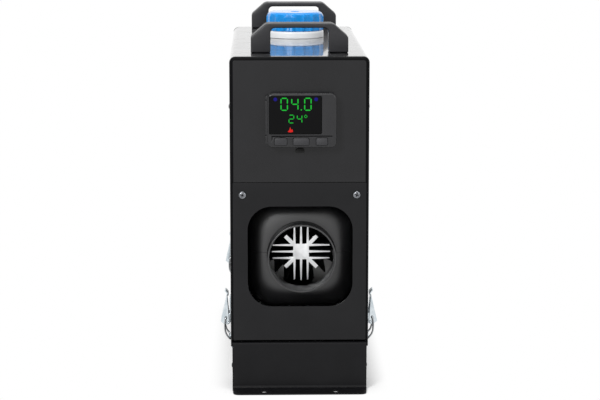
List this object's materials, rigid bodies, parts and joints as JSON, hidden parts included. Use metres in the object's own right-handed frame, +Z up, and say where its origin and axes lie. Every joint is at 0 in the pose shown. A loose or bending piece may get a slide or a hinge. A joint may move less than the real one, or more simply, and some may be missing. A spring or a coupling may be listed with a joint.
{
  "type": "diesel air heater",
  "caption": "Upright black sheet-metal air heater with a round warm-air outlet, a front controller, carry handles, a screw fuel cap and side draw latches on an open base tray.",
  "frame": {"origin": "floor level under the middle of the case", "axes": "+Z up, -Y the way the warm-air outlet and the controller face, +X to the right seen from the front"},
  "size_m": [0.1724, 0.446, 0.3968],
  "materials": {
    "case_coat": "satin black powder coat",
    "tray_coat": "satin black powder coat",
    "handle_plastic": "fine-textured moulded nylon",
    "casing_plastic": "moulded black plastic, satin",
    "black_plastic": "moulded black plastic",
    "cast_aluminium": "as-cast, fine grain",
    "zinc_plate": "bright zinc plate",
    "bright_steel": "plain steel",
    "rubber": "moulded rubber",
    "tank_plastic": "natural blow-moulded plastic",
    "white_plastic": "white moulded plastic",
    "blue_plastic": "blue moulded plastic, satin",
    "display_glass": "dark display window",
    "fuel_hose": "fuel hose"
  },
  "bodies": {
    "case": {"base_tray": "tray_coat", "case_cover": "case_coat", "front_panel": "case_coat", "outlet_plate": "case_coat", "rear_panel": "case_coat", "plate_screw_left": "zinc_plate", "plate_screw_right": "zinc_plate", "heater_lower_shell": "casing_plastic", "heater_upper_shell": "casing_plastic", "outlet_ring": "casing_plastic", "heat_exchanger": "cast_aluminium", "burner_chamber": "bright_steel", "blower_housing": "cast_aluminium", "glow_plug": "bright_steel", "fan_motor": "bright_steel", "control_unit": "black_plastic", "exhaust_pipe": "bright_steel", "intake_grille": "black_plastic", "heater_stand": "bright_steel", "mount_gasket": "rubber", "cable_gland": "black_plastic", "tank_shelf": "bright_steel", "fuel_tank": "tank_plastic", "neck_collar": "white_plastic", "fuel_filter": "tank_plastic", "fuel_pump": "bright_steel", "pump_clip": "rubber", "suction_hose": "fuel_hose", "pump_hose": "fuel_hose", "delivery_hose": "fuel_hose", "handle_front": "handle_plastic", "handle_rear": "handle_plastic", "controller_case": "black_plastic", "controller_bezel": "black_plastic", "display_module": "display_glass", "cable_grommet": "rubber", "latch_base_front_left": "zinc_plate", "latch_catch_front_left": "zinc_plate", "latch_base_front_right": "zinc_plate", "latch_catch_front_right": "zinc_plate", "latch_base_rear_left": "zinc_plate", "latch_catch_rear_left": "zinc_plate", "latch_base_rear_right": "zinc_plate", "latch_catch_rear_right": "zinc_plate"},
    "rotor": {"rotor_shaft": "bright_steel", "burner_fan": "cast_aluminium", "air_fan": "black_plastic"},
    "cap_seal": {"cap_seal": "rubber"},
    "cap": {"fuel_cap": "blue_plastic"},
    "button_left": {"button_left": "black_plastic"},
    "button_middle": {"button_middle": "black_plastic"},
    "button_right": {"button_right": "black_plastic"},
    "lever_front_left": {"latch_lever_front_left": "zinc_plate"},
    "bail_front_left": {"latch_bail_front_left": "bright_steel"},
    "lever_front_right": {"latch_lever_front_right": "zinc_plate"},
    "bail_front_right": {"latch_bail_front_right": "bright_steel"},
    "lever_rear_left": {"latch_lever_rear_left": "zinc_plate"},
    "bail_rear_left": {"latch_bail_rear_left": "bright_steel"},
    "lever_rear_right": {"latch_lever_rear_right": "zinc_plate"},
    "bail_rear_right": {"latch_bail_rear_right": "bright_steel"}
  },
  "joints": [
    {"name": "fan_spin", "type": "hinge", "parent": "case", "child": "rotor", "pos_m": [0.0026, 0.1, 0.145], "axis": [0, 1, 0], "continuous": true},
    {"name": "cap_lift", "type": "slide", "parent": "case", "child": "cap_seal", "axis": [0, 0, 1], "range_m": [0, 0.00876]},
    {"name": "cap_turn", "type": "hinge", "parent": "cap_seal", "child": "cap", "pos_m": [0, 0.048, 0.384], "axis": [0, 0, 1], "range_deg": [0, 630]},
    {"name": "button_left_press", "type": "slide", "parent": "case", "child": "button_left", "axis": [0, 1, 0], "range_m": [0, 0.001], "stiffness_N_per_m": 400, "springref_m": -0.0005},
    {"name": "button_middle_press", "type": "slide", "parent": "case", "child": "button_middle", "axis": [0, 1, 0], "range_m": [0, 0.001], "stiffness_N_per_m": 400, "springref_m": -0.0005},
    {"name": "button_right_press", "type": "slide", "parent": "case", "child": "button_right", "axis": [0, 1, 0], "range_m": [0, 0.001], "stiffness_N_per_m": 400, "springref_m": -0.0005},
    {"name": "lever_front_left_open", "type": "hinge", "parent": "case", "child": "lever_front_left", "pos_m": [-0.0784, -0.164, 0.0695], "axis": [0, -1, 0], "range_deg": [0, 105]},
    {"name": "bail_front_left_swing", "type": "hinge", "parent": "lever_front_left", "child": "bail_front_left", "pos_m": [-0.0806, -0.164, 0.0749], "axis": [0, -1, 0], "range_deg": [-105, 0]},
    {"name": "lever_front_right_open", "type": "hinge", "parent": "case", "child": "lever_front_right", "pos_m": [0.0784, -0.164, 0.0695], "axis": [0, 1, 0], "range_deg": [0, 105]},
    {"name": "bail_front_right_swing", "type": "hinge", "parent": "lever_front_right", "child": "bail_front_right", "pos_m": [0.0806, -0.164, 0.0749], "axis": [0, 1, 0], "range_deg": [-105, 0]},
    {"name": "lever_rear_left_open", "type": "hinge", "parent": "case", "child": "lever_rear_left", "pos_m": [-0.0784, 0.164, 0.0695], "axis": [0, -1, 0], "range_deg": [0, 105]},
    {"name": "bail_rear_left_swing", "type": "hinge", "parent": "lever_rear_left", "child": "bail_rear_left", "pos_m": [-0.0806, 0.164, 0.0749], "axis": [0, -1, 0], "range_deg": [-105, 0]},
    {"name": "lever_rear_right_open", "type": "hinge", "parent": "case", "child": "lever_rear_right", "pos_m": [0.0784, 0.164, 0.0695], "axis": [0, 1, 0], "range_deg": [0, 105]},
    {"name": "bail_rear_right_swing", "type": "hinge", "parent": "lever_rear_right", "child": "bail_rear_right", "pos_m": [0.0806, 0.164, 0.0749], "axis": [0, 1, 0], "range_deg": [-105, 0]}
  ],
  "couplings": [
    {"joint": "cap_lift", "follows": "cap_turn", "m_per_rad": 0.00079577},
    {"joint": "bail_front_left_swing", "follows": "lever_front_left_open", "ratio": -1},
    {"joint": "bail_front_right_swing", "follows": "lever_front_right_open", "ratio": -1},
    {"joint": "bail_rear_left_swing", "follows": "lever_rear_left_open", "ratio": -1},
    {"joint": "bail_rear_right_swing", "follows": "lever_rear_right_open", "ratio": -1}
  ]
}
